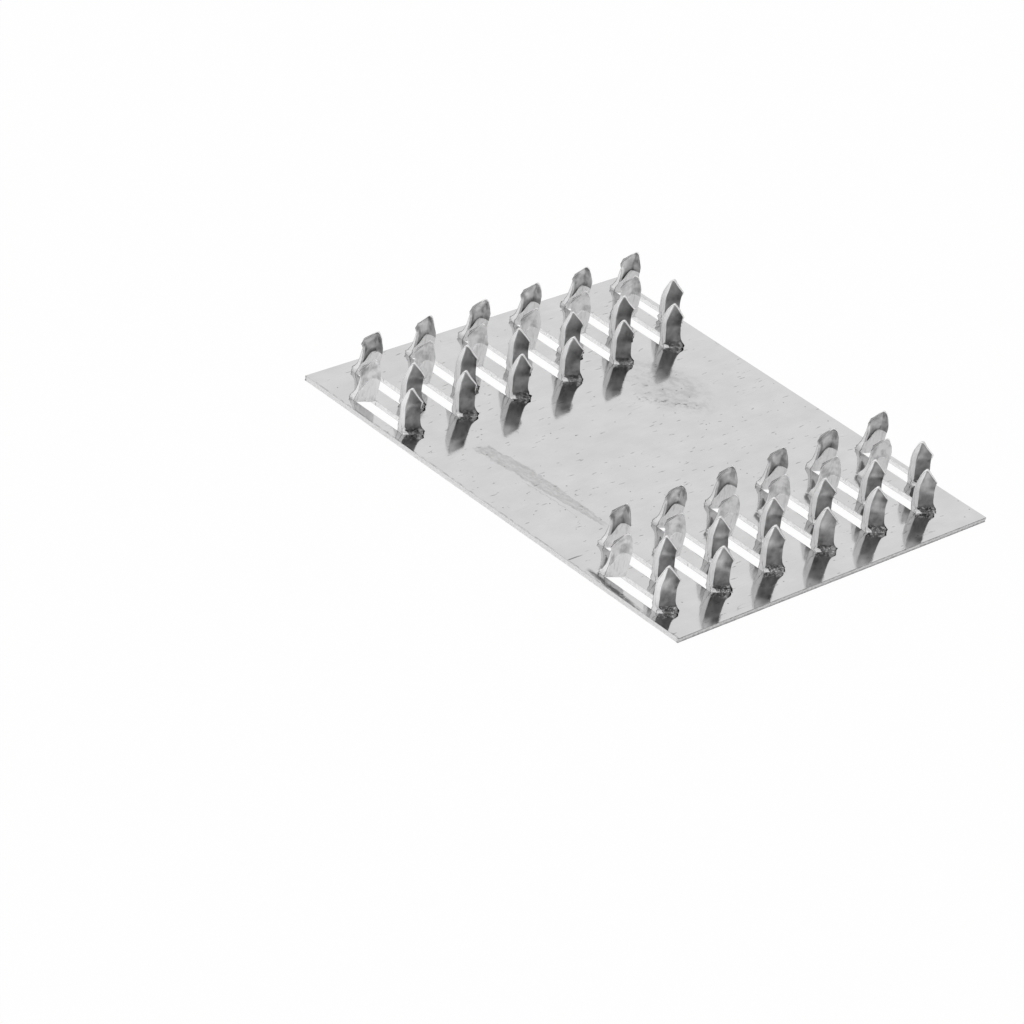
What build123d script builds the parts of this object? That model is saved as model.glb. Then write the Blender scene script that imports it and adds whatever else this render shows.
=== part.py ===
from build123d import *
from math import cos, radians, sin, tan
import os

# Nail plate for timber joints: one galvanised steel sheet, pierced and pressed so that each slot
# gives two teeth. Lengths are in millimetres. The smooth back face lies on z = 0, the teeth point
# up, x runs along the slots and the origin is the middle of the back face.

# Sheet
PLATE_LENGTH = 100.0
PLATE_WIDTH = 84.0
SHEET = 1.0

# Slots: two banks of staggered rows with a plain band between them
ROWS = 12
SLOT_LENGTH = 14.2
SLOT_WIDTH = 3.6
SLANT = 28.0
FIRST_SLOT_FROM_END = 11.1
LAST_SLOT_FROM_END = 14.3
FIRST_ROW_FROM_SIDE = 4.2
STAGGER = 7.2

# Teeth: each turns up in a bend, and one side of it is folded back into a wing along a ridge.
# Two sheared slopes, in degrees, meet in its apex, which stands this far along the bend line.
BEND_RADIUS = 0.7
TOOTH_HEIGHT = 9.4
APEX_FROM_CORNER = 0.3
NEAR_SLOPE = 62.0
FAR_SLOPE = 45.0

# The hollow pressed into the inner side of each tooth, from a ledge at this height up to the tip.
# Its floor is turned towards the far edge and leans inwards by these degrees.
HOLLOW_DEPTH = 0.38
HOLLOW_LEDGE = 3.3
HOLLOW_END = 1.0
HOLLOW_TURN = 8.0
HOLLOW_LEAN = 4.0

# How far the wing is folded back, in degrees, and what the fold takes off the inner side's width
# as a share of the bend line
WING_FOLD = 40.0
INNER_SHIFT = 0.07

# A section of the tooth: its share of the height; where its ridge and its far edge are and how
# wide the wing is, as shares of the bend line; how far outward ridge and far edge are, in sheets.
SECTIONS = (
    (0.24, -0.04, 0.73, 0.20, 0.00, 0.00),
    (0.57, -0.10, 0.63, 0.28, 0.15, 0.30),
    (1.00, 0.07, 0.79, 0.34, -0.45, 0.55),
)

row_pitch = PLATE_WIDTH / ROWS
bank_offset = PLATE_LENGTH - FIRST_SLOT_FROM_END - STAGGER - LAST_SLOT_FROM_END
bend_line = SLOT_WIDTH / cos(radians(SLANT))
corner_shift = SLOT_WIDTH / 2 * tan(radians(SLANT))
corner_x = SLOT_LENGTH / 2 - corner_shift
corner_y = -SLOT_WIDTH / 2


def tooth_plane(along, outward, height):
    """The upright plane of the +x tooth of a slot centred on the origin: its x runs along the bend
    line, its y is up and it faces outward."""
    x = corner_x + along * sin(radians(SLANT)) + outward * cos(radians(SLANT))
    y = corner_y + along * cos(radians(SLANT)) - outward * sin(radians(SLANT))
    outward_way = (cos(radians(SLANT)), -sin(radians(SLANT)), 0)
    along_way = (sin(radians(SLANT)), cos(radians(SLANT)), 0)
    return Plane(origin=(x, y, SHEET + height), x_dir=along_way, z_dir=outward_way)


def section(height, ridge, far, wing, ridge_out, far_out, far_in):
    """A level cross-section: a flat strip one sheet thick with its wing folded back at the ridge."""
    edge = ridge - wing * cos(radians(WING_FOLD))
    edge_out = ridge_out - wing * sin(radians(WING_FOLD))
    inner = INNER_SHIFT * bend_line
    outside = [(edge, edge_out), (ridge, ridge_out), (far, far_out)]
    inside = [(far_in, far_out - SHEET), (ridge + inner, ridge_out - SHEET), (edge + inner, edge_out - SHEET)]
    return Face(Wire.make_polygon([tooth_plane(a, o, height).origin for a, o in outside + inside]))


def folded_strip():
    """The strip that stands on the bend, lofted with sharp folds from the foot to the top."""
    flush = bend_line - SHEET * tan(radians(SLANT))
    start = 0.05 * bend_line
    levels = [section(BEND_RADIUS, start, bend_line, start, 0, 0, flush)]
    for share, ridge, far, wing, ridge_out, far_out in SECTIONS:
        far_in = (far - INNER_SHIFT / 2) * bend_line
        places = [share * TOOTH_HEIGHT, ridge * bend_line, far * bend_line, wing * bend_line]
        levels.append(section(*places, ridge_out * SHEET, far_out * SHEET, far_in))
    return loft(levels, ruled=True)


def pointed_blank():
    """What the shear leaves of the strip: two slanted cuts that meet in a point near the ridge."""
    reach = 2 * bend_line
    near, far = APEX_FROM_CORNER - reach, APEX_FROM_CORNER + reach
    near_end = TOOTH_HEIGHT - reach * tan(radians(NEAR_SLOPE))
    far_end = TOOTH_HEIGHT - reach * tan(radians(FAR_SLOPE))
    corners = ((near, near_end), (APEX_FROM_CORNER, TOOTH_HEIGHT), (far, far_end), (far, near_end))
    outline = tooth_plane(0, 0, 0) * Polygon(*corners, align=None)
    return extrude(outline, amount=4 * SHEET, both=True)


def hollow():
    """What the punch presses out of the inner side."""
    drop, reach = HOLLOW_LEDGE - HOLLOW_END, 2 * bend_line
    corners = ((-reach, 0), (0.15 * bend_line, 0), (0.75 * bend_line, -drop), (reach, -drop),
               (reach, TOOTH_HEIGHT), (-reach, TOOTH_HEIGHT))
    floor = tooth_plane(0, HOLLOW_DEPTH - SHEET, HOLLOW_LEDGE) * Rot(-HOLLOW_LEAN, -HOLLOW_TURN, 0)
    block = extrude(Polygon(*corners, align=None), amount=3 * SHEET, dir=(0, 0, -1))
    return floor * block


def bend():
    """The quarter turn from the sheet up into the tooth, cut flush with the slot's long edges."""
    outer = BEND_RADIUS + SHEET
    with BuildPart() as turn:
        start = tooth_plane(-2 * bend_line, BEND_RADIUS, BEND_RADIUS)
        with BuildSketch(Plane(origin=start.origin, x_dir=start.z_dir, z_dir=start.x_dir)):
            Circle(outer)
            Circle(BEND_RADIUS, mode=Mode.SUBTRACT)
            Rectangle(outer, outer, align=(Align.MAX, Align.MIN), mode=Mode.INTERSECT)
        extrude(amount=5 * bend_line)
        Box(4 * SLOT_LENGTH, SLOT_WIDTH, 8 * SHEET, mode=Mode.INTERSECT)
    return turn.part


def opening():
    """What a slot removes: a parallelogram that ends where the two bends start."""
    end = BEND_RADIUS / cos(radians(SLANT))
    near, far = corner_y, -corner_y
    right_near = corner_x + end
    right_far = corner_x + 2 * corner_shift + end
    corners = ((right_near, near), (right_far, far), (-right_near, far), (-right_far, near))
    return extrude(Plane.XY.offset(-SHEET) * Polygon(*corners, align=None), amount=3 * SHEET, dir=(0, 0, 1))


def slot_places():
    """The centres of all slots; every other row of a bank is moved one stagger along x."""
    for bank in range(2):
        for row in range(ROWS):
            shift = STAGGER if row % 2 == 0 else 0.0
            x = FIRST_SLOT_FROM_END + bank * bank_offset + shift - PLATE_LENGTH / 2
            y = FIRST_ROW_FROM_SIDE + row * row_pitch - PLATE_WIDTH / 2
            yield Location((x, y, 0))


tooth = bend() + ((folded_strip() & pointed_blank()) - hollow())
pair = [tooth, Rot(0, 0, 180) * tooth]

sheet = Box(PLATE_LENGTH, PLATE_WIDTH, SHEET, align=(Align.CENTER, Align.CENTER, Align.MIN))
places = list(slot_places())
sheet = sheet.cut(*[place * opening() for place in places])
plate = sheet.fuse(*[place * half for place in places for half in pair]).clean()

os.makedirs("parts", exist_ok=True)
export_step(plate, "parts/nail_plate.step")
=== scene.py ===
import math

import bmesh
import bpy
from mathutils import Euler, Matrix, Vector, geometry, noise


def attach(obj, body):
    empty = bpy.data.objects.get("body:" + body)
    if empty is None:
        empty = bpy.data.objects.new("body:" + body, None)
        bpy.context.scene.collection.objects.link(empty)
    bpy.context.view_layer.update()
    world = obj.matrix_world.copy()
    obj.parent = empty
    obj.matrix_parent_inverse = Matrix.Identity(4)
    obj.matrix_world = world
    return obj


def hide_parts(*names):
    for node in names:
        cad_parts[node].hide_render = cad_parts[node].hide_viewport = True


MM = 0.001

# The plate, as in the construction model, in millimetres
LENGTH, WIDTH, SHEET = 100.0, 84.0, 1.0
ROWS, BANKS = 12, 2
PITCH = WIDTH / ROWS
SLOT_LENGTH, SLOT_WIDTH, SLANT = 14.2, 3.6, math.radians(28)
FIRST_X, FIRST_Y, STAGGER, BANK_OFFSET = 11.1, 4.2, 7.2, 67.4
BEND_RADIUS = 0.7

BEND_LINE = SLOT_WIDTH / math.cos(SLANT)
CORNER_X = SLOT_LENGTH / 2 - SLOT_WIDTH / 2 * math.tan(SLANT)
CORNER_Y = -SLOT_WIDTH / 2

# Half the sides of the piece of sheet that each slot's mesh brings with it
CELL_X, CELL_Y = 9.6, 2.4

# How finely a slot and its teeth are meshed: shares across a tooth, shares up its outer face
ACROSS_AT = (0, 0.09, 0.18, 0.25, 0.28, 0.31, 0.38, 0.5, 0.62, 0.74, 0.86, 0.95, 1)
UP_AT = (0, 0.05, 0.1, 0.17, 0.24, 0.33, 0.42, 0.5, 0.56, 0.61, 0.66, 0.71, 0.77, 0.84, 0.9, 0.96, 1)
ACROSS, UP_STEPS = len(ACROSS_AT) - 1, len(UP_AT) - 1
TURN_STEPS, EDGE_STEPS, LEDGE_ROW = 5, 18, 5

# Values of the mesh's "cut" layer on sheared faces
SLOT_WALL, TOOTH_RIM, PLATE_EDGE = 0.5, 1.0, 2.0


# Tooth shape


def on_tooth(along, outward, height):
    """A point of the +x tooth of a slot, from its near bend corner on the toothed face."""
    x = CORNER_X + along * math.sin(SLANT) + outward * math.cos(SLANT)
    y = CORNER_Y + along * math.cos(SLANT) - outward * math.sin(SLANT)
    return Vector((x, y, SHEET + height))


def smooth_step(low, high, value):
    t = min(max((value - low) / (high - low), 0.0), 1.0)
    return t * t * (3 - 2 * t)


# A share of the way up, then along the bend line, outward and height in millimetres of the near
# edge, the ridge and the far edge.
RIDGE_AT = 0.28
OUTSIDE = (
    (0.00, (0.00, 0.00, 0.70), (0.45, 0.00, 0.70), (4.08, 0.00, 0.70)),
    (0.09, (-0.12, -0.25, 1.30), (0.34, 0.04, 1.35), (3.70, 0.04, 1.25)),
    (0.22, (-0.36, -0.50, 2.20), (0.20, 0.18, 2.25), (3.22, 0.20, 2.20)),
    (0.38, (-0.54, -0.72, 3.30), (-0.02, 0.34, 3.60), (2.98, 0.44, 3.50)),
    (0.52, (-0.62, -0.85, 4.30), (-0.28, 0.46, 4.95), (2.82, 0.50, 4.70)),
    (0.64, (-0.60, -0.92, 5.05), (-0.44, 0.52, 6.20), (2.64, 0.52, 5.70)),
    (1.00, (-0.50, -1.05, 6.25), (0.58, -0.50, 9.15), (2.80, 0.32, 6.82)),
)
INSIDE = (
    (0.00, (-0.53, -1.00, 0.70), (0.45, -1.00, 0.70), (3.55, -1.00, 0.70)),
    (0.22, (-0.60, -1.12, 2.00), (0.22, -0.85, 2.20), (3.05, -0.78, 2.10)),
    (0.54, (-0.72, -1.15, 4.50), (-0.02, -0.42, 4.75), (2.86, -0.40, 4.30)),
    (0.78, (-0.64, -1.32, 5.50), (0.20, -0.66, 6.70), (3.22, -0.60, 5.35)),
    (1.00, (-0.44, -1.45, 6.35), (1.02, -1.15, 9.33), (3.60, -0.82, 6.22)),
)


def folded(rows, a, g):
    """A point on the flat folds between rows of near edge, ridge and far edge."""
    k = 0
    while k < len(rows) - 2 and g > rows[k + 1][0]:
        k += 1
    t = (g - rows[k][0]) / (rows[k + 1][0] - rows[k][0])
    near, ridge, far = (Vector(p).lerp(Vector(q), t) for p, q in zip(rows[k][1:], rows[k + 1][1:]))
    if a < RIDGE_AT:
        return near.lerp(ridge, a / RIDGE_AT)
    return ridge.lerp(far, (a - RIDGE_AT) / (1 - RIDGE_AT))


def eased(rows, a, g, soft_a, soft_g):
    """The same point with its folds rounded over these shares."""
    wide, high = min(soft_a, a, 1 - a), min(soft_g, g, 1 - g)
    total = Vector((0, 0, 0))
    for i in (-1, -0.5, 0, 0.5, 1):
        for j in (-1, -0.5, 0, 0.5, 1):
            total += folded(rows, a + i * wide, g + j * high)
    return total / 25


def ledge(a):
    """How far up the inner face the pressed hollow starts."""
    return 0.53 - 0.33 * smooth_step(0.50, 0.95, a)


def crowned(point, a, g):
    """Rounds the near slope of the sheared top out towards the tip."""
    bulge = math.sin(math.pi * min(a / RIDGE_AT, 1.0)) * smooth_step(0.72, 1.0, g)
    return Vector((point.x - 0.10 * bulge, point.y, point.z + 0.42 * bulge))


def outer_point(a, g):
    """The outer face, whose upper part bulges a little where the hollow was pressed."""
    sharp = 1 - smooth_step(0.8, 1.0, g)
    point = eased(OUTSIDE, a, g, 0.03 + 0.02 * (1 - sharp), 0.13)
    rise = min(max((g - 0.64) / 0.36, 0.0), 1.0)
    flat = smooth_step(RIDGE_AT, 0.5, a) * (1 - 0.7 * smooth_step(0.8, 1.0, a))
    point.y += 0.05 * math.sin(math.pi * rise) * flat
    return crowned(point, a, g)


def inner_point(a, g, above):
    """The inner face, hollowed above its ledge to a thinner wall with a lip on the far edge."""
    point = eased(INSIDE, a, g, 0.05 + 0.21 * (1 - smooth_step(0.75, 1.0, g)), 0.10)
    if above:
        floor = eased(OUTSIDE, max(a, 0.42), g, 0.20, 0.14).y - 0.58
        floor -= 1.0 * (1 - smooth_step(0.0, 0.42, a))
        lip = (1 - 0.9 * smooth_step(0.80, 0.95, a)) * (1 - 0.5 * smooth_step(0.9, 1.0, g))
        point.y += max(floor - point.y, 0.0) * lip
    return crowned(point, a, g)


def tooth_grid():
    """Rows of (outer, inner, rise, across) from the start of the bend to the tip."""
    shift = math.tan(SLANT)
    rows = []
    for step in range(TURN_STEPS):
        turn = math.pi / 2 * step / TURN_STEPS
        pairs = []
        for a in ACROSS_AT:
            ends = []
            for radius in (BEND_RADIUS, BEND_RADIUS + SHEET):
                out = BEND_RADIUS - radius * math.sin(turn)
                up = BEND_RADIUS - radius * math.cos(turn)
                ends.append(Vector((a * BEND_LINE + out * shift, out, up)))
            pairs.append((ends[0], ends[1], 0.08 * step / TURN_STEPS, a))
        rows.append(pairs)
    for j, g in enumerate(UP_AT):
        pairs = []
        for a in ACROSS_AT:
            start = ledge(a)
            if j <= LEDGE_ROW:
                inner = inner_point(a, start * j / LEDGE_ROW, False)
            else:
                upper = start + 0.022
                share = (j - LEDGE_ROW - 1) / (UP_STEPS - LEDGE_ROW - 1)
                inner = inner_point(a, upper + (1 - upper) * share, True)
            outer = outer_point(a, g)
            pairs.append((outer, inner, 0.08 + 0.92 * g, a))
        rows.append(pairs)
    for k in range(2, TURN_STEPS + 3):
        curl = 1 - abs(k - TURN_STEPS) / 3.5
        for outer, inner, rise, a in rows[k]:
            torn = smooth_step(0.84, 1.0, a) * curl
            outer.x += torn * (0.28 + 0.10 * math.sin(5.0 * k))
            outer.y += torn * (0.34 + 0.08 * math.cos(4.0 * k))
    return [[(on_tooth(*o), on_tooth(*i), u, a) for o, i, u, a in row] for row in rows]


# One slot with its two teeth


def cell_loops():
    """The slot's edge, a support line round it and the cell's rectangle, with matching points."""
    end = BEND_RADIUS / math.cos(SLANT)
    lean = SLOT_WIDTH / 2 * math.tan(SLANT)
    half = SLOT_LENGTH / 2 + end
    corners = [(half - lean, -SLOT_WIDTH / 2), (half + lean, SLOT_WIDTH / 2),
               (-half + lean, SLOT_WIDTH / 2), (-half - lean, -SLOT_WIDTH / 2)]
    grown = [(half - lean + 0.22, -SLOT_WIDTH / 2 - 0.22), (half + lean + 0.3, SLOT_WIDTH / 2 + 0.22),
             (-half + lean - 0.22, SLOT_WIDTH / 2 + 0.22), (-half - lean - 0.3, -SLOT_WIDTH / 2 - 0.22)]
    cell = [(CELL_X, -CELL_Y), (CELL_X, CELL_Y), (-CELL_X, CELL_Y), (-CELL_X, -CELL_Y)]
    along_edge = [k / EDGE_STEPS for k in range(EDGE_STEPS)]

    def walk(points):
        loop = []
        for c in range(4):
            x0, y0 = points[c]
            x1, y1 = points[(c + 1) % 4]
            for t in along_edge if c % 2 else ACROSS_AT[:-1]:
                loop.append((x0 + (x1 - x0) * t, y0 + (y1 - y0) * t))
        return loop

    return walk(corners), walk(grown), walk(cell)


def slot_cell():
    """A cell of sheet with one slot and both its teeth, as a mesh whose border is open."""
    mesh = bmesh.new()
    up = mesh.verts.layers.float.new("rise")
    across = mesh.verts.layers.float.new("across")
    side = mesh.verts.layers.float.new("side")
    depth = mesh.verts.layers.float.new("depth")
    cut = mesh.faces.layers.float.new("cut")
    slot_edge, support, border = cell_loops()
    count = len(slot_edge)
    turned = count // 2

    def add(point):
        return mesh.verts.new(Vector(point) * MM)

    top = [[add((x, y, SHEET)) for x, y in loop] for loop in (slot_edge, support, border)]
    low = [[add((x, y, 0.0)) for x, y in loop] for loop in (slot_edge, support, border)]
    for i in range(count):
        j = (i + 1) % count
        for ring in range(2):
            mesh.faces.new((top[ring][i], top[ring + 1][i], top[ring + 1][j], top[ring][j]))
            mesh.faces.new((low[ring][i], low[ring][j], low[ring + 1][j], low[ring + 1][i]))
    for first in (ACROSS, turned + ACROSS):
        for k in range(EDGE_STEPS):
            i = (first + k) % count
            j = (i + 1) % count
            face = mesh.faces.new((top[0][i], top[0][j], low[0][j], low[0][i]))
            face[cut] = SLOT_WALL

    grid = tooth_grid()
    for sign, first in ((1.0, 0), (-1.0, turned)):
        outer = [[top[0][(first + i) % count] for i in range(ACROSS + 1)]]
        inner = [[low[0][(first + i) % count] for i in range(ACROSS + 1)]]
        for row in grid[1:]:
            rim_out, rim_in = [], []
            for out_point, in_point, rise, a in row:
                for point, into, deep in ((out_point, rim_out, 0.0), (in_point, rim_in, 1.0)):
                    vert = add((point.x * sign, point.y * sign, point.z))
                    vert[up], vert[across], vert[side], vert[depth] = rise, a, sign, deep
                    into.append(vert)
            outer.append(rim_out)
            inner.append(rim_in)
        for j in range(len(outer) - 1):
            for i in range(ACROSS):
                mesh.faces.new((outer[j][i], outer[j][i + 1], outer[j + 1][i + 1], outer[j + 1][i]))
                mesh.faces.new((inner[j][i], inner[j + 1][i], inner[j + 1][i + 1], inner[j][i + 1]))
            for i, flip in ((0, False), (ACROSS, True)):
                quad = (outer[j][i], outer[j + 1][i], inner[j + 1][i], inner[j][i])
                face = mesh.faces.new(quad[::-1] if flip else quad)
                face[cut] = TOOTH_RIM
        for i in range(ACROSS):
            face = mesh.faces.new((outer[-1][i], outer[-1][i + 1], inner[-1][i + 1], inner[-1][i]))
            face[cut] = TOOTH_RIM
    bmesh.ops.recalc_face_normals(mesh, faces=mesh.faces)
    sharp = [edge for edge in mesh.edges
             if len(edge.link_faces) == 2 and edge.link_faces[0][cut] != edge.link_faces[1][cut]]
    bmesh.ops.bevel(mesh, geom=sharp, offset=0.045 * MM, segments=2, profile=0.5, affect="EDGES",
                    clamp_overlap=True)
    return mesh


# Rows of slots

# How far the teeth differ at their tips, along their length and at their torn roots, in millimetres
LEAN, WARP, TORN_ROOT = 0.26, 0.34, 0.55


class Graph:
    """Adds nodes to a tree: a type, its settings, and the values or links of its sockets."""

    def __init__(self, tree):
        self.tree = tree

    def add(self, kind, settings=None, **sockets):
        node = self.tree.nodes.new(kind)
        for name, value in (settings or {}).items():
            setattr(node, name, value)
        for name, value in sockets.items():
            key = int(name[1:]) if name[0] == "i" and name[1:].isdigit() else name.replace("_", " ")
            socket = node.inputs[key]
            if isinstance(value, Value):
                value = value.socket
            if isinstance(value, bpy.types.NodeSocket):
                self.tree.links.new(value, socket)
            else:
                socket.default_value = value
        return node


class Value:
    """A socket that takes part in Python arithmetic."""

    def __init__(self, graph, socket):
        self.graph = graph
        self.socket = socket

    def math(self, operation, *others, clamp=False):
        sockets = {f"i{k}": v for k, v in enumerate(others)}
        node = self.graph.add("ShaderNodeMath", {"operation": operation, "use_clamp": clamp}, **sockets)
        return Value(self.graph, node.outputs[0])

    def __add__(self, other):
        return self.math("ADD", self, other)

    __radd__ = __add__

    def __sub__(self, other):
        return self.math("SUBTRACT", self, other)

    def __rsub__(self, other):
        return self.math("SUBTRACT", other, self)

    def __mul__(self, other):
        return self.math("MULTIPLY", self, other)

    __rmul__ = __mul__

    def __truediv__(self, other):
        return self.math("DIVIDE", self, other)

    def __abs__(self):
        return self.math("ABSOLUTE", self)

    def over(self, low, high):
        """0 below low, 1 above high, smooth between."""
        node = self.graph.add("ShaderNodeMapRange", {"interpolation_type": "SMOOTHSTEP"},
                              Value=self, From_Min=low, From_Max=high)
        return Value(self.graph, node.outputs[0])

    def held(self):
        return self.math("ADD", self, 0.0, clamp=True)


def row_tree():
    """Geometry nodes that set the slot cell along both banks and lean each tooth a little."""
    tree = bpy.data.node_groups.new("slot rows", "GeometryNodeTree")
    face = tree.interface
    face.new_socket("Geometry", in_out="INPUT", socket_type="NodeSocketGeometry")
    for name, kind in (("Rows", "NodeSocketInt"), ("Banks", "NodeSocketInt"),
                       ("Row Pitch", "NodeSocketFloat"), ("Bank Offset", "NodeSocketFloat"),
                       ("Stagger", "NodeSocketFloat"), ("First Slot", "NodeSocketVector"),
                       ("Lean", "NodeSocketFloat"), ("Warp", "NodeSocketFloat"),
                       ("Torn Root", "NodeSocketFloat"), ("Seed", "NodeSocketInt"),
                       ("Finish", "NodeSocketMaterial")):
        face.new_socket(name, in_out="INPUT", socket_type=kind)
    face.new_socket("Geometry", in_out="OUTPUT", socket_type="NodeSocketGeometry")
    g = Graph(tree)
    given = g.add("NodeGroupInput").outputs

    rows, banks = Value(g, given["Rows"]), Value(g, given["Banks"])
    line = g.add("GeometryNodeMeshLine", {"mode": "OFFSET"}, Count=rows * banks)
    index = Value(g, g.add("GeometryNodeInputIndex").outputs[0])
    share = index / rows
    bank = share.math("FLOOR", share)
    row = index - bank * rows
    even = 1 - row.math("MODULO", row, 2.0)
    x = bank * Value(g, given["Bank Offset"]) + even * Value(g, given["Stagger"])
    y = row * Value(g, given["Row Pitch"])
    place = g.add("ShaderNodeCombineXYZ", X=x, Y=y)
    start = g.add("ShaderNodeVectorMath", {"operation": "ADD"}, i0=place.outputs[0],
                  i1=given["First Slot"])
    points = g.add("GeometryNodeSetPosition", Geometry=line.outputs[0], Position=start.outputs[0])
    copies = g.add("GeometryNodeInstanceOnPoints", Points=points.outputs[0],
                   Instance=given["Geometry"])
    kept = copies.outputs[0]
    for name, offset in (("lean plus", 0), ("lean minus", 71)):
        seed = Value(g, given["Seed"]) + offset
        draw = g.add("FunctionNodeRandomValue", {"data_type": "FLOAT_VECTOR"},
                     i0=(-1.0, -1.0, 0.0), i1=(1.0, 1.0, 0.0), Seed=seed)
        store = g.add("GeometryNodeStoreNamedAttribute",
                      {"data_type": "FLOAT_VECTOR", "domain": "INSTANCE"},
                      Geometry=kept, Name=name, Value=draw.outputs[0])
        kept = store.outputs[0]
    moved = g.add("GeometryNodeStoreNamedAttribute", {"data_type": "FLOAT", "domain": "INSTANCE"},
                  Geometry=kept, Name="staggered", Value=even)
    real = g.add("GeometryNodeRealizeInstances", Geometry=moved.outputs[0])

    def named(name, kind="FLOAT"):
        return g.add("GeometryNodeInputNamedAttribute", {"data_type": kind}, Name=name).outputs[0]

    rise, side = Value(g, named("rise")), Value(g, named("side"))
    amount = rise * rise * Value(g, given["Lean"])
    plus = side.math("GREATER_THAN", side, 0.5)
    minus = side.math("LESS_THAN", side, -0.5)
    moves = []
    for name, mask in (("lean plus", plus), ("lean minus", minus)):
        move = g.add("ShaderNodeVectorMath", {"operation": "SCALE"}, i0=named(name, "FLOAT_VECTOR"),
                     Scale=amount * mask)
        moves.append(move.outputs[0])
    both = g.add("ShaderNodeVectorMath", {"operation": "ADD"}, i0=moves[0], i1=moves[1])
    shaped = g.add("GeometryNodeSetPosition", Geometry=real.outputs[0], Offset=both.outputs[0])
    on_any = plus + minus
    root = rise.over(0.02, 0.07) * (1 - rise.over(0.11, 0.19)) * on_any
    for scale, up, reach in ((330.0, 0.0, rise * on_any * Value(g, given["Warp"])),
                             (1500.0, 0.8, root * Value(g, given["Torn Root"]))):
        drift = g.add("ShaderNodeTexNoise", Scale=scale, Detail=1.0,
                      Vector=g.add("GeometryNodeInputPosition").outputs[0])
        level = g.add("ShaderNodeVectorMath", {"operation": "MULTIPLY_ADD"}, i0=drift.outputs["Color"],
                      i1=(2.0, 2.0, up), i2=(-1.0, -1.0, -up / 2))
        push = g.add("ShaderNodeVectorMath", {"operation": "SCALE"}, i0=level.outputs[0], Scale=reach)
        shaped = g.add("GeometryNodeSetPosition", Geometry=shaped.outputs[0], Offset=push.outputs[0])
    done = g.add("GeometryNodeSetMaterial", Geometry=shaped.outputs[0], Material=given["Finish"])
    g.add("NodeGroupOutput", Geometry=done.outputs[0])
    return tree


def toothed_rows(finish):
    """All slots of the plate as one plain mesh."""
    cell = bpy.data.meshes.new("slot cell")
    made = slot_cell()
    made.to_mesh(cell)
    made.free()
    carrier = bpy.data.objects.new("slot cell", cell)
    bpy.context.collection.objects.link(carrier)
    rows = carrier.modifiers.new("rows", "NODES")
    rows.node_group = row_tree()
    sizes = {
        "Rows": ROWS, "Banks": BANKS, "Row Pitch": PITCH * MM, "Bank Offset": BANK_OFFSET * MM,
        "Stagger": STAGGER * MM, "Lean": LEAN * MM, "Warp": WARP * MM,
        "Torn Root": TORN_ROOT * MM, "Seed": 5, "Finish": finish,
        "First Slot": ((FIRST_X - LENGTH / 2) * MM, (FIRST_Y - WIDTH / 2) * MM, 0.0),
    }
    for item in rows.node_group.interface.items_tree:
        if item.in_out == "INPUT" and item.name in sizes:
            rows[item.identifier] = sizes[item.name]
    carrier.update_tag()
    seen = carrier.evaluated_get(bpy.context.evaluated_depsgraph_get())
    plain = bpy.data.meshes.new_from_object(seen)
    bpy.data.objects.remove(carrier)
    return plain


# The flat sheet round the cells

# The sheared outline from the toothed face down: share of the sheet, how far in it is torn in mm
EDGE_LEVELS = ((1.0, 0.0), (0.93, 0.01), (0.62, 0.03), (0.34, 0.11), (0.06, 0.05), (0.0, 0.0))
# The outline's points are this far apart and waver inwards by this much, in millimetres
OUTLINE_STEP, OUTLINE_WAVER = 0.7, 0.05


def outline_points():
    """The sheared outline, wavering inwards by a few hundredths of a millimetre."""
    half_x, half_y = LENGTH / 2, WIDTH / 2
    corners = [(-half_x, -half_y), (half_x, -half_y), (half_x, half_y), (-half_x, half_y)]
    points = []
    for c in range(4):
        x0, y0 = corners[c]
        x1, y1 = corners[(c + 1) % 4]
        steps = round(math.hypot(x1 - x0, y1 - y0) / OUTLINE_STEP)
        for k in range(steps):
            t = k / steps
            x, y = x0 + (x1 - x0) * t, y0 + (y1 - y0) * t
            waver = OUTLINE_WAVER * (0.5 + 0.5 * noise.noise(Vector((x * 0.9, y * 0.9, 3.0))))
            waver *= min(k, 6) / 6
            inward = Vector((-x, 0)) if c % 2 else Vector((0, -y))
            inward = inward.normalized() * waver
            points.append((x + inward.x, y + inward.y))
    return points


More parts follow.
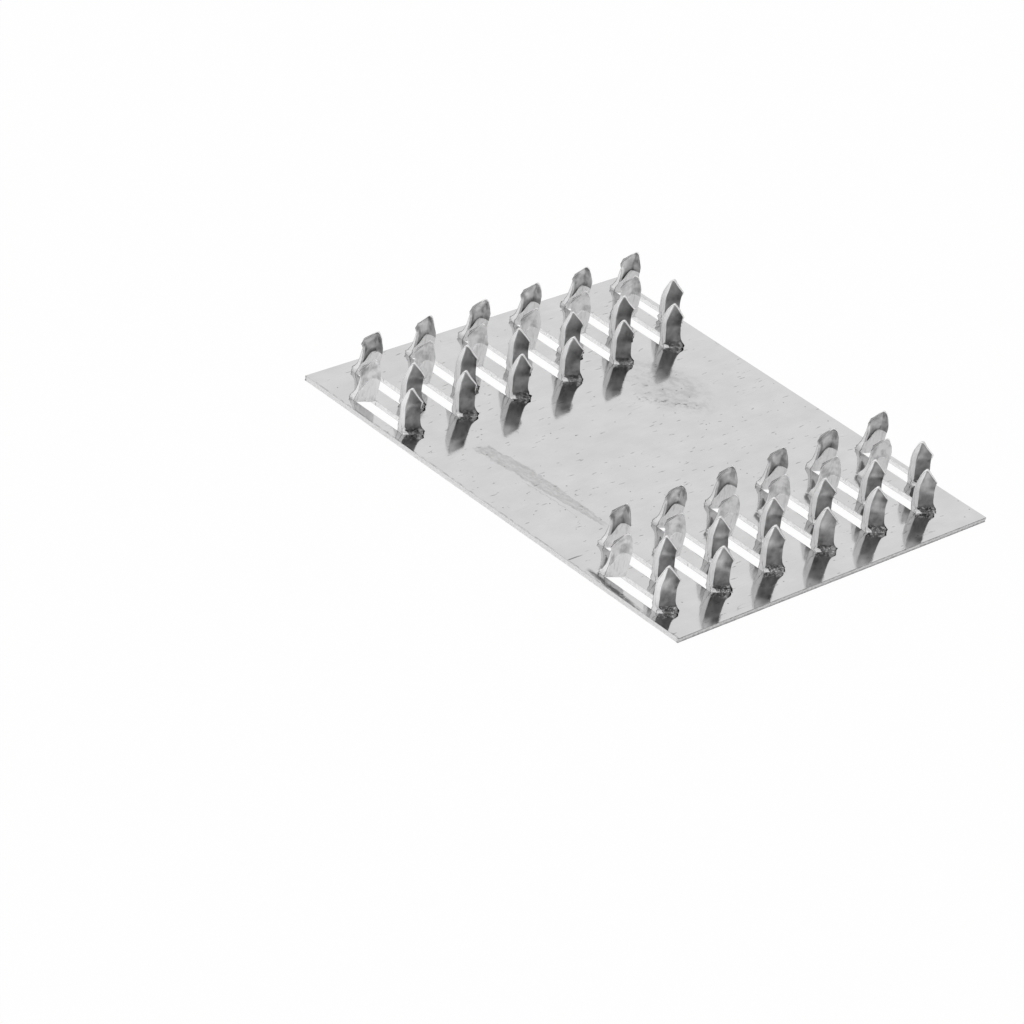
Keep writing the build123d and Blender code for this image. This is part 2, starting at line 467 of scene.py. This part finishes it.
def sheet_mesh(rows_mesh):
    """The plate: the toothed cells joined to flat sheet and sheared edges in one closed mesh."""
    plate = bmesh.new()
    plate.from_mesh(rows_mesh)
    cut = plate.faces.layers.float["cut"]
    outline = outline_points()
    border = cell_loops()[2]
    flat = [Vector(point) for point in outline]
    count = len(outline)
    edges = [(i, (i + 1) % count) for i in range(count)]
    holes = []
    for bank in range(BANKS):
        for row in range(ROWS):
            x = FIRST_X + bank * BANK_OFFSET + (STAGGER if row % 2 == 0 else 0) - LENGTH / 2
            y = FIRST_Y + row * PITCH - WIDTH / 2
            start = len(flat)
            flat += [Vector((x + px, y + py)) for px, py in border]
            edges += [(start + i, start + (i + 1) % len(border)) for i in range(len(border))]
            holes.append((x, y))
    points, _, triangles, *_ = geometry.delaunay_2d_cdt(flat, edges, [], 1, 1e-5)
    for height, flip in ((SHEET, False), (0.0, True)):
        verts = [plate.verts.new((p.x * MM, p.y * MM, height * MM)) for p in points]
        for triangle in triangles:
            centre = sum((points[i] for i in triangle), Vector((0, 0))) / 3
            if any(abs(centre.x - x) < CELL_X and abs(centre.y - y) < CELL_Y for x, y in holes):
                continue
            corners = [verts[i] for i in triangle]
            plate.faces.new(corners[::-1] if flip else corners)
    walls = []
    for share, depth in EDGE_LEVELS:
        level = share * SHEET
        ring = []
        for x, y in outline:
            rough = noise.noise(Vector((x * 1.7, y * 1.7, level * 5)))
            on_short_side = abs(abs(x) - LENGTH / 2) < abs(abs(y) - WIDTH / 2)
            inward = Vector((-x, 0)) if on_short_side else Vector((0, -y))
            inward = inward.normalized() * depth * (0.7 + 0.6 * rough)
            ring.append(plate.verts.new(((x + inward.x) * MM, (y + inward.y) * MM, level * MM)))
        walls.append(ring)
    for upper, lower in zip(walls, walls[1:]):
        for i in range(count):
            j = (i + 1) % count
            face = plate.faces.new((upper[i], lower[i], lower[j], upper[j]))
            face[cut] = PLATE_EDGE
    bmesh.ops.remove_doubles(plate, verts=plate.verts, dist=0.002 * MM)
    bmesh.ops.recalc_face_normals(plate, faces=plate.faces)
    for face in plate.faces:
        face.smooth = True
    return plate


# Finish

# Bands over which one part of a tooth passes into the next, as shares of its height and width
BEND_BAND = (0.005, 0.03)
ROOT_BAND = (0.12, 0.20)
LEDGE_BAND = (0.40, 0.46)
TIP_BAND = (0.54, 0.84)
RIDGE_BAND = (0.25, 0.285)

# Where the long marks lie on the toothed face, in millimetres
RUB_Y, RUB_FROM_X, RUB_TO_X = -27.6, -15.2, 17.5
SMUDGE_X, SMUDGE_Y, SMUDGE_HALF_X, SMUDGE_HALF_Y = -14.2, 20.3, 13.0, 8.5
STREAKS_X, STREAKS_Y, STREAKS_LENGTH, STREAKS_WAY = -13.5, 11.2, 11.0, (0.657, 0.754)
SMEAR_X, SMEAR_Y, SMEAR_FROM_X, SMEAR_TO_X = 32.0, -41.2, 25.0, 43.0
NICK_X, NICK_TO_Y, LIP_Y = 21.6, -38.4, -41.9


class Zinc(Graph):
    """The finish's tree, with what it is drawn from: places, clouds, marks and mesh values."""

    def __init__(self, tree):
        super().__init__(tree)
        self.place = self.add("ShaderNodeTexCoord").outputs["Object"]
        where = self.add("ShaderNodeSeparateXYZ", Vector=self.scaled(1, 1, 1)).outputs
        self.x, self.y, self.z = (Value(self, socket) for socket in where)

    def scaled(self, x, y, z):
        """The place in millimetres, times these."""
        return self.add("ShaderNodeVectorMath", {"operation": "MULTIPLY"}, i0=self.place,
                        i1=(x / MM, y / MM, z / MM)).outputs[0]

    def cloud(self, x, y, z, detail=2.0, rough=0.5):
        """Soft noise with about this many waves in a millimetre along each axis."""
        node = self.add("ShaderNodeTexNoise", Vector=self.scaled(x, y, z), Scale=1.0,
                        Detail=detail, Roughness=rough)
        return Value(self, node.outputs[0])

    def carried(self, name):
        """What the mesh carries under that name."""
        return Value(self, self.add("ShaderNodeAttribute", {"attribute_name": name}).outputs["Fac"])

    def marks(self, across, along, radius, share, turn, seed):
        """Scattered oval marks: their spacing and half length in millimetres, and how many show."""
        bent = self.add("ShaderNodeTexNoise", Vector=self.scaled(0.25, 0.25, 0.25), Scale=1.0,
                        Detail=1.0)
        shift = self.add("ShaderNodeVectorMath", {"operation": "MULTIPLY_ADD"},
                         i0=bent.outputs["Color"], i1=(turn, turn, 0.0), i2=self.scaled(1, 1, 1))
        spread = self.add("ShaderNodeVectorMath", {"operation": "MULTIPLY_ADD"},
                          i0=shift.outputs[0], i1=(1 / across, 1 / along, 0.6),
                          i2=(seed, seed, seed))
        cells = self.add("ShaderNodeTexVoronoi", {"feature": "F1"}, Vector=spread.outputs[0],
                         Scale=1.0)
        draw = self.add("ShaderNodeSeparateXYZ", Vector=cells.outputs["Color"])
        luck = Value(self, draw.outputs[0])
        near = Value(self, cells.outputs["Distance"])
        shown = luck.math("GREATER_THAN", luck, 1 - share)
        return (1 - (near / (radius * luck)).over(0.6, 1.1)) * shown


class Parts:
    """Masks of the sheet, its edges and the parts of the teeth."""

    def __init__(self, g):
        self.rise, self.across, self.cut = g.carried("rise"), g.carried("across"), g.carried("cut")
        self.depth, self.side = g.carried("depth"), g.carried("side")
        rise, across, cut = self.rise, self.across, self.cut
        self.tooth = rise.over(*BEND_BAND)
        self.sheet = 1 - self.tooth
        self.any_cut = cut.over(0.2, SLOT_WALL)
        self.plate_edge = cut.over(1.2, 1.8)
        self.within = self.depth.over(0.4, 0.6)
        self.rim = cut.over(0.7, 0.95) * (1 - cut.over(1.2, 1.6)) * self.tooth
        outer, inner = self.tooth * (1 - self.within), self.within * self.tooth
        whole = 1 - self.rim
        self.wing = outer * (1 - across.over(*RIDGE_BAND)) * whole
        self.face = outer * across.over(*RIDGE_BAND) * whole
        self.block = inner * (1 - rise.over(*LEDGE_BAND)) * whole
        hollow = inner * rise.over(*LEDGE_BAND) * whole
        # Painted light: the hollows on the staggered rows are painted lighter, as lit copies of the
        # hollow.
        self.lit_hollow = hollow * g.carried("staggered").over(0.3, 0.7)
        self.hollow = hollow - self.lit_hollow
        # Painted highlight along the far lip of the hollows.
        self.far_lip = self.hollow * across.over(0.84, 0.92) * (1 - rise.over(0.80, 0.92))
        # The rim, wing and block are pale matte metal; the lit hollows join them as painted light.
        self.pale_and_lit = self.wing + self.rim + self.block + self.lit_hollow * 0.95
        self.root = outer * rise.over(*BEND_BAND) * (1 - rise.over(*ROOT_BAND))


def long_rub(g):
    """A long soft rub beside the near edge, narrowing along x, with a thin line beside it."""
    x = g.x
    bow = (x - 3.0) * (0.045 + (3.0 - x).over(0.0, 20.0) * 0.05)
    ripple = (g.cloud(0.3, 0.6, 0.3) - 0.5) * 1.2 + (g.cloud(0.9, 0.9, 0.9) - 0.5) * 1.6
    off_line = g.y - RUB_Y - bow + ripple
    ragged = (g.cloud(0.7, 0.7, 0.7) - 0.5) * 3.0
    reach = (x - RUB_FROM_X + ragged).over(0.0, 1.2) * (RUB_TO_X - x).over(0.0, 3.0)
    half_width = 0.60 + 1.50 * (1 - x.over(-4.0, 20.0))
    ratio = abs(off_line) / half_width
    body = (1 - ratio.over(0.75, 1.05)) * reach
    rubbed = g.cloud(0.8, 1.5, 0.9, 4.0, 0.65).over(0.36, 0.64)
    line = 1 - abs(off_line + 2.5).over(0.05, 0.16)
    line = line * (x + 3.0).over(0.0, 2.0) * (12.0 - x).over(0.0, 2.0)
    return body * (0.28 + rubbed * 0.45 + ratio.over(0.45, 0.80) * 0.22) + line * 0.5


def smudge_and_streaks(g):
    """A smudge in the far half of the plain band, and short streaks at its lower side."""
    dx, dy = (g.x - SMUDGE_X) / SMUDGE_HALF_X, (g.y - SMUDGE_Y) / SMUDGE_HALF_Y
    cloudy = g.cloud(0.6, 0.6, 0.4, 5.0, 0.65).over(0.40, 0.66)
    smudge = (1 - (dx * dx + dy * dy).over(0.1, 1.1)) * (0.35 + cloudy * 0.9)
    way_x, way_y = STREAKS_WAY
    x, y = g.x - STREAKS_X, g.y - STREAKS_Y
    beside, along = x * way_y - y * way_x, x * way_x + y * way_y
    streaks = (1 - abs(beside).over(0.2, 1.5)) * along.over(-1.0, 1.0)
    streaks = streaks * (1 - along.over(STREAKS_LENGTH, STREAKS_LENGTH + 2.0))
    return smudge, streaks * g.cloud(1.4, 0.8, 1.0, 4.0, 0.65).over(0.48, 0.66)


def near_strip(g):
    """A dark smear and a nick between the near edge and its first slot, and the edge's lip."""
    x, y = g.x, g.y
    off_line = y - SMEAR_Y + (x - SMEAR_X) * 0.08
    smear = (1 - abs(off_line).over(0.25, 0.85)) * (x - SMEAR_FROM_X).over(0.0, 2.0)
    smear = smear * (SMEAR_TO_X - x).over(0.0, 8.0)
    smear = smear * g.cloud(0.5, 2.0, 1.0, 3.0, 0.6).over(0.32, 0.52)
    nick = (1 - abs(x - NICK_X).over(0.06, 0.24)) * (y - LIP_Y).over(0.0, 0.3)
    nick = nick * (NICK_TO_Y - y).over(0.0, 1.6)
    lip = (1 - abs(y - LIP_Y).over(0.12, 0.34)) * g.cloud(0.8, 2.0, 1.0, 3.0).over(0.42, 0.60)
    return smear, nick, lip


def scattered_marks(g):
    """Dashes along the rolling direction, specks and a few long scratches."""
    dashes = g.marks(0.62, 4.0, 0.26, 0.16, 1.2, 3.0) + g.marks(0.70, 2.6, 0.24, 0.14, 1.6, 11.0)
    dashes = dashes.held() * g.cloud(1.2, 1.2, 1.0).over(0.30, 0.55)
    specks = g.marks(1.5, 1.7, 0.12, 0.24, 0.0, 7.0)
    hair = 1 - abs(g.cloud(0.42, 0.05, 0.4, 1.0) - 0.5).over(0.0, 0.004)
    return dashes, specks, hair * g.cloud(0.2, 0.2, 0.2).over(0.56, 0.66)


def tooth_shade(g, parts, lines, flecks):
    """How light each part of a tooth is, from its dark root to its tip: the outer face's light and dark
    are painted reflection and shade, and painted shade darkens the hollows low down.
    """
    rise, across = parts.rise, parts.across
    patches = g.cloud(1.1, 1.1, 0.8, 3.0, 0.6) - 0.5
    smears = g.cloud(0.5, 0.5, 0.45, 2.0, 0.5) - 0.5
    tip = rise.over(*TIP_BAND)
    # Painted reflection and shade: the outer face lightens from its root towards its tip, darkens above
    # the crest towards its far edge, and darkens a little at its root and on the tips of the bank at
    # smaller x.
    face = 0.20 + rise.over(0.05, 0.75) * 0.21 + tip * 0.07
    face = face - rise.over(0.54, 0.68) * across.over(0.35, 1.0) * 0.26
    face = face - tip * (2.0 - g.x).over(0.0, 6.0) * 0.03 - parts.root * 0.02
    face = face + patches * 0.30 + smears * 0.40
    # Painted shade: the hollow darkens towards its foot, more so towards its far edge.
    hollow = 0.33 + rise.over(0.45, 0.95) * 0.18 + patches * 0.34 + smears * 0.75
    hollow = hollow - across.over(0.4, 0.9) * (1 - rise.over(0.45, 0.75)) * 0.14
    # Pale matte parts, with the hollows of the staggered rows painted lighter as if lit.
    drawn = parts.wing * 0.3 + parts.block + parts.lit_hollow * 0.5
    shade = parts.pale_and_lit * (0.99 + patches * 0.30) + drawn * (lines - 0.5) * 0.9
    shade = shade + parts.lit_hollow * (smears - 0.06) * 1.5
    shade = shade + parts.face * face + parts.hollow * hollow
    # The far lip of the hollows gets its painted highlight here.
    return shade + flecks * 0.40 + parts.far_lip * 0.45


def curl_shadow_and_glint(parts):
    """A painted shadow at the torn corner at the foot of the teeth that point along x, and a painted
    glint beside it.
    """
    rise, across = parts.rise, parts.across
    foot = parts.side.over(0.2, 0.7) * (1 - rise.over(0.11, 0.17))
    cut_side = parts.cut.over(0.7, 0.95) * (1 - parts.plate_edge)
    curl_shadow = (cut_side + across.over(0.95, 0.99)).held() * across.over(0.5, 0.9) * foot
    glint = parts.face * across.over(0.83, 0.88) * (1 - across.over(0.92, 0.96)) * foot
    return curl_shadow * (1 - parts.within), glint * rise.over(0.04, 0.07)


def dark_rim_lines(parts):
    """Darker lines along the edges of a tooth's sheared rim, and painted shade along the top of the rim
    on the teeth that face back.
    """
    edge_lines = (1 - parts.depth.over(0.03, 0.20)) + parts.depth.over(0.80, 0.96) * 0.8
    facing_back = 1 - parts.side.over(-0.5, 0.5)
    # Painted shade along the top of the rim of the back-facing teeth.
    top = facing_back * parts.across.over(0.42, 0.55) * parts.rise.over(0.66, 0.76)
    return parts.rim * edge_lines * 0.80 + parts.rim * top * 0.60


def plate_edge_shade(g, torn):
    """The sheared outline: painted shade on the short sides, with a light layer in mid sheet."""
    end = (abs(g.x) - (LENGTH / 2 - 1.0)).over(0.4, 0.8)
    layer = 1 - abs(g.z - 0.52 * SHEET).over(0.16, 0.30)
    # Painted shade darkens the short sides.
    shade = 0.82 - end * (0.30 - layer * 0.20) - g.z.over(0.86, 0.94) * 0.22
    return shade - torn * (0.10 + end * 0.12)


def galvanised():
    """Bright rolled zinc: streaks along the strip, specks, scratches, rubs and grimy cut edges, with
    painted light and shade on the teeth and cut edges.
    """
    finish = bpy.data.materials.new("galvanised_sheet")
    finish.use_nodes = True
    finish.node_tree.nodes.clear()
    g = Zinc(finish.node_tree)
    parts = Parts(g)
    sheet, pale_and_lit, root, edge = parts.sheet, parts.pale_and_lit, parts.root, parts.plate_edge

    fine = g.cloud(6.0, 0.35, 2.0, 3.0) - 0.5
    broad = g.cloud(0.7, 0.05, 0.7, 2.0) - 0.5
    mottle = g.cloud(0.22, 0.16, 0.2, 3.0) - 0.5
    lines = g.cloud(3.0, 3.0, 0.35, 3.0)
    grime = g.cloud(1.6, 1.6, 3.0, 4.0, 0.65)
    torn_root = g.cloud(2.6, 2.6, 3.4, 2.0, 0.6)
    dashes, specks, scratches = scattered_marks(g)
    rub = long_rub(g)
    smudge, streaks = smudge_and_streaks(g)
    smear, nick, lip = near_strip(g)
    flecks = root * torn_root.over(0.52, 0.62) * (0.35 + (g.x - 2.0).over(0.0, 6.0) * 0.65)
    curl_shadow, glint = curl_shadow_and_glint(parts)
    torn = grime.over(0.40, 0.64)

    dark = dashes * 0.44 + specks * 0.75 + scratches * 0.34 + rub * 0.40
    dark = dark + smudge * 0.24 + streaks * 0.70 + smear * 0.95 + nick * 0.8
    shade = 0.635 + broad * 0.04 + fine * 0.05 + mottle * 0.12 - dark * sheet * 0.5
    # The glint is a painted highlight beside the torn corners.
    shade = shade * sheet + tooth_shade(g, parts, lines, flecks) + glint * 0.4
    shade = shade * (1 - edge) + edge * plate_edge_shade(g, torn)
    # Slot walls: grime that varies at random, with painted light lifting the walls overall.
    slot_wall_grime_and_light = parts.any_cut * (grime - 0.80) * 0.5
    shade = shade - (slot_wall_grime_and_light + lip * 0.22) * sheet * (1 - edge)
    # Subtracts the dark rim lines and the painted shadow at the torn corners.
    shade = (shade - dark_rim_lines(parts) - curl_shadow * 0.9).held()
    tint = g.add("ShaderNodeMix", {"data_type": "RGBA"}, Factor=(rub * 0.6 + torn * edge * 0.5).held(),
                 i6=(1.0, 0.996, 1.0, 1.0), i7=(1.0, 0.972, 0.968, 1.0))
    colour = g.add("ShaderNodeVectorMath", {"operation": "SCALE"}, i0=tint.outputs[2], Scale=shade)

    rough = 0.085 + fine * 0.07 + mottle * 0.05 + smudge * 0.05 + rub * 0.10
    rough = rough * sheet + pale_and_lit * (0.38 + (lines - 0.5) * 0.10)
    rough = rough + parts.face * 0.33 + parts.hollow * 0.30
    rough = (rough + parts.any_cut * sheet * 0.15 + edge * 0.15).held()
    metal = (1 - pale_and_lit * 0.88 - parts.far_lip * 0.5 - flecks * 0.5 - edge * 0.5).held()

    height = fine * 0.5 + mottle * 6.0 - dashes * 1.0 - specks * 1.5 - scratches * 0.8
    height = height * sheet + parts.tooth * (lines - 0.5) * 2.5
    height = height + parts.any_cut * (grime - 0.5) * 4.0 + root * (torn_root - 0.5) * 70.0
    bump = g.add("ShaderNodeBump", Height=height, Strength=0.30, Distance=0.012 * MM)
    shader = g.add("ShaderNodeBsdfPrincipled", Base_Color=colour.outputs[0], Roughness=rough,
                   Metallic=metal, Normal=bump.outputs[0])
    g.add("ShaderNodeOutputMaterial", Surface=shader.outputs[0])
    return finish


# Studio


PANEL_DISTANCE, FLOOR_GAP, ROOM_LIGHT = 0.9, 0.00002, 0.38


def soft_panel(name, azimuth, elevation, size, power):
    """An oblong lamp that faces the plate's middle from that side and height."""
    lamp = bpy.data.lights.new(name, "AREA")
    lamp.shape = "RECTANGLE"
    lamp.size, lamp.size_y = size
    lamp.energy = power
    holder = bpy.data.objects.new(name, lamp)
    az, el = math.radians(azimuth), math.radians(elevation)
    way = Vector((math.cos(el) * math.cos(az), math.cos(el) * math.sin(az), math.sin(el)))
    holder.location = way * PANEL_DISTANCE
    holder.rotation_euler = (-way).to_track_quat("-Z", "Y").to_euler()
    bpy.context.collection.objects.link(holder)


def camera_rays(g, also_glossy=True):
    """1 where a ray comes from the camera, a reflection or clear glass."""
    path = g.add("ShaderNodeLightPath").outputs
    seen = Value(g, path["Is Camera Ray"])
    if also_glossy:
        seen = seen + Value(g, path["Is Glossy Ray"]) + Value(g, path["Is Transmission Ray"])
    return seen.held()


def studio():
    """White paper, a dim even room and three soft panels."""
    scene = bpy.context.scene
    scene.view_settings.view_transform = "Standard"

    bpy.ops.mesh.primitive_plane_add(size=8.0, location=(0, 0, -FLOOR_GAP))
    floor = bpy.context.object
    floor.name = "floor"
    paper = bpy.data.materials.new("white paper")
    paper.use_nodes = True
    paper.node_tree.nodes.clear()
    g = Graph(paper.node_tree)
    matte = g.add("ShaderNodeBsdfDiffuse", Color=(0.8, 0.8, 0.8, 1.0))
    glow = g.add("ShaderNodeEmission", Color=(1.0, 1.0, 1.0, 1.0), Strength=1.0)
    blend = g.add("ShaderNodeMixShader", Fac=camera_rays(g) * 0.98, i1=matte.outputs[0],
                  i2=glow.outputs[0])
    g.add("ShaderNodeOutputMaterial", Surface=blend.outputs[0])
    floor.data.materials.append(paper)

    world = bpy.data.worlds.new("studio")
    scene.world = world
    world.use_nodes = True
    world.node_tree.nodes.clear()
    g = Graph(world.node_tree)
    soft = g.add("ShaderNodeBackground", Color=(1.0, 1.0, 1.0, 1.0), Strength=ROOM_LIGHT)
    white = g.add("ShaderNodeBackground", Color=(1.0, 1.0, 1.0, 1.0), Strength=1.0)
    blend = g.add("ShaderNodeMixShader", Fac=camera_rays(g, also_glossy=False), i1=soft.outputs[0],
                  i2=white.outputs[0])
    g.add("ShaderNodeOutputWorld", Surface=blend.outputs[0])

    soft_panel("back panel", azimuth=135, elevation=34, size=(1.5, 0.9), power=2.6)
    soft_panel("left panel", azimuth=-104, elevation=31, size=(1.6, 1.1), power=4.0)
    soft_panel("top panel", azimuth=15, elevation=66, size=(0.9, 0.9), power=2.0)


def camera():
    """The photograph's view: from the near right, with the camera tilted to its side."""
    lens = bpy.data.cameras.new("camera")
    lens.sensor_width = 36.0
    lens.lens = 163.8
    lens.clip_start, lens.clip_end = 0.05, 20.0
    holder = bpy.data.objects.new("camera", lens)
    holder.location = Vector((473.4, -594.7, 434.9)) * MM
    look_at = Vector((4.7, -39.8, 1.0)) * MM
    aim = (look_at - holder.location).to_track_quat("-Z", "Y")
    tilt = Euler((0, 0, math.radians(11.7))).to_quaternion()
    holder.rotation_euler = (aim @ tilt).to_euler()
    bpy.context.collection.objects.link(holder)
    bpy.context.scene.camera = holder


# Scene


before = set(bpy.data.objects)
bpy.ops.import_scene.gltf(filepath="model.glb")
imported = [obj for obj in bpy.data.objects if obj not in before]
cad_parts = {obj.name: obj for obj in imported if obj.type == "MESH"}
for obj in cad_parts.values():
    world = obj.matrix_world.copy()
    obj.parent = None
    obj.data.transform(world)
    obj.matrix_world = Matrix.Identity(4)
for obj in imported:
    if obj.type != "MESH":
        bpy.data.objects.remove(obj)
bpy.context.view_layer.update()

finish = galvanised()
plate_mesh = bpy.data.meshes.new("dressed_plate")
made = sheet_mesh(toothed_rows(finish))
made.to_mesh(plate_mesh)
made.free()
plate_mesh.materials.clear()
plate_mesh.materials.append(finish)
plate_mesh.set_sharp_from_angle(angle=math.radians(50))
plate = bpy.data.objects.new("dressed_plate", plate_mesh)
bpy.context.collection.objects.link(plate)
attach(plate, "root")
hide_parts("nail_plate")

studio()
camera()
